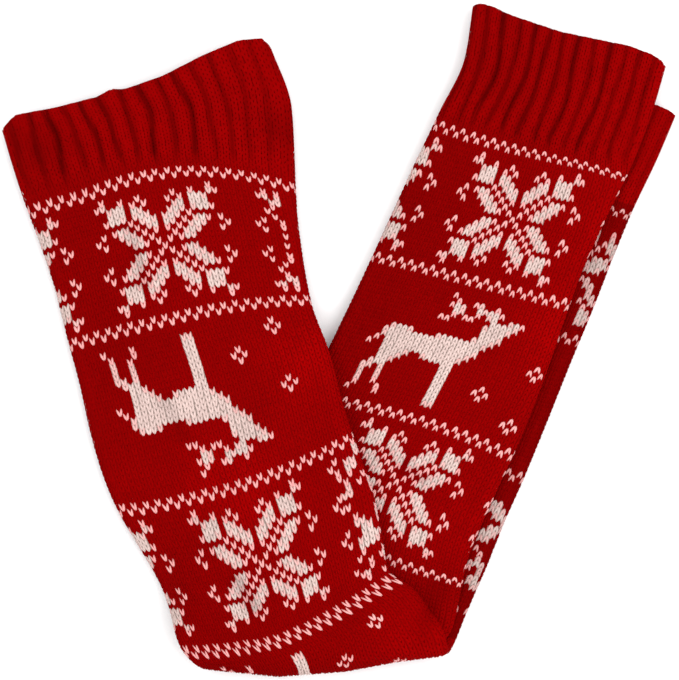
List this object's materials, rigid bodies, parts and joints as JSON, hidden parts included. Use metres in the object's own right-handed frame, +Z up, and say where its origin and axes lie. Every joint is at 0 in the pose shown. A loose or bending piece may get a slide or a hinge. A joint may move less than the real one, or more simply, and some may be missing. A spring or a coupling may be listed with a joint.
{
  "type": "pair of over-the-knee socks",
  "caption": "Footless knitted over-the-knee socks with a rib cuff at both ends, laid on each other and folded over into a V, for warming the legs.",
  "frame": {"origin": "centre of the folded pair in plan, at the height of the surface it lies on", "axes": "+Z up from the surface, +Y from the crease towards the four mouths, +X towards the leg with the narrow cuffs"},
  "size_m": [0.3348, 0.3362, 0.0256],
  "materials": {
    "leg_knit": "matt knitted yarn with a slight fuzz",
    "cuff_knit": "matt rib-knitted yarn with a slight fuzz"
  },
  "bodies": {
    "root": {"inner_sock_leg": "leg_knit", "inner_sock_narrow_cuff": "cuff_knit", "inner_sock_wide_cuff": "cuff_knit", "outer_sock_leg": "leg_knit", "outer_sock_narrow_cuff": "cuff_knit", "outer_sock_wide_cuff": "cuff_knit"}
  },
  "joints": []
}
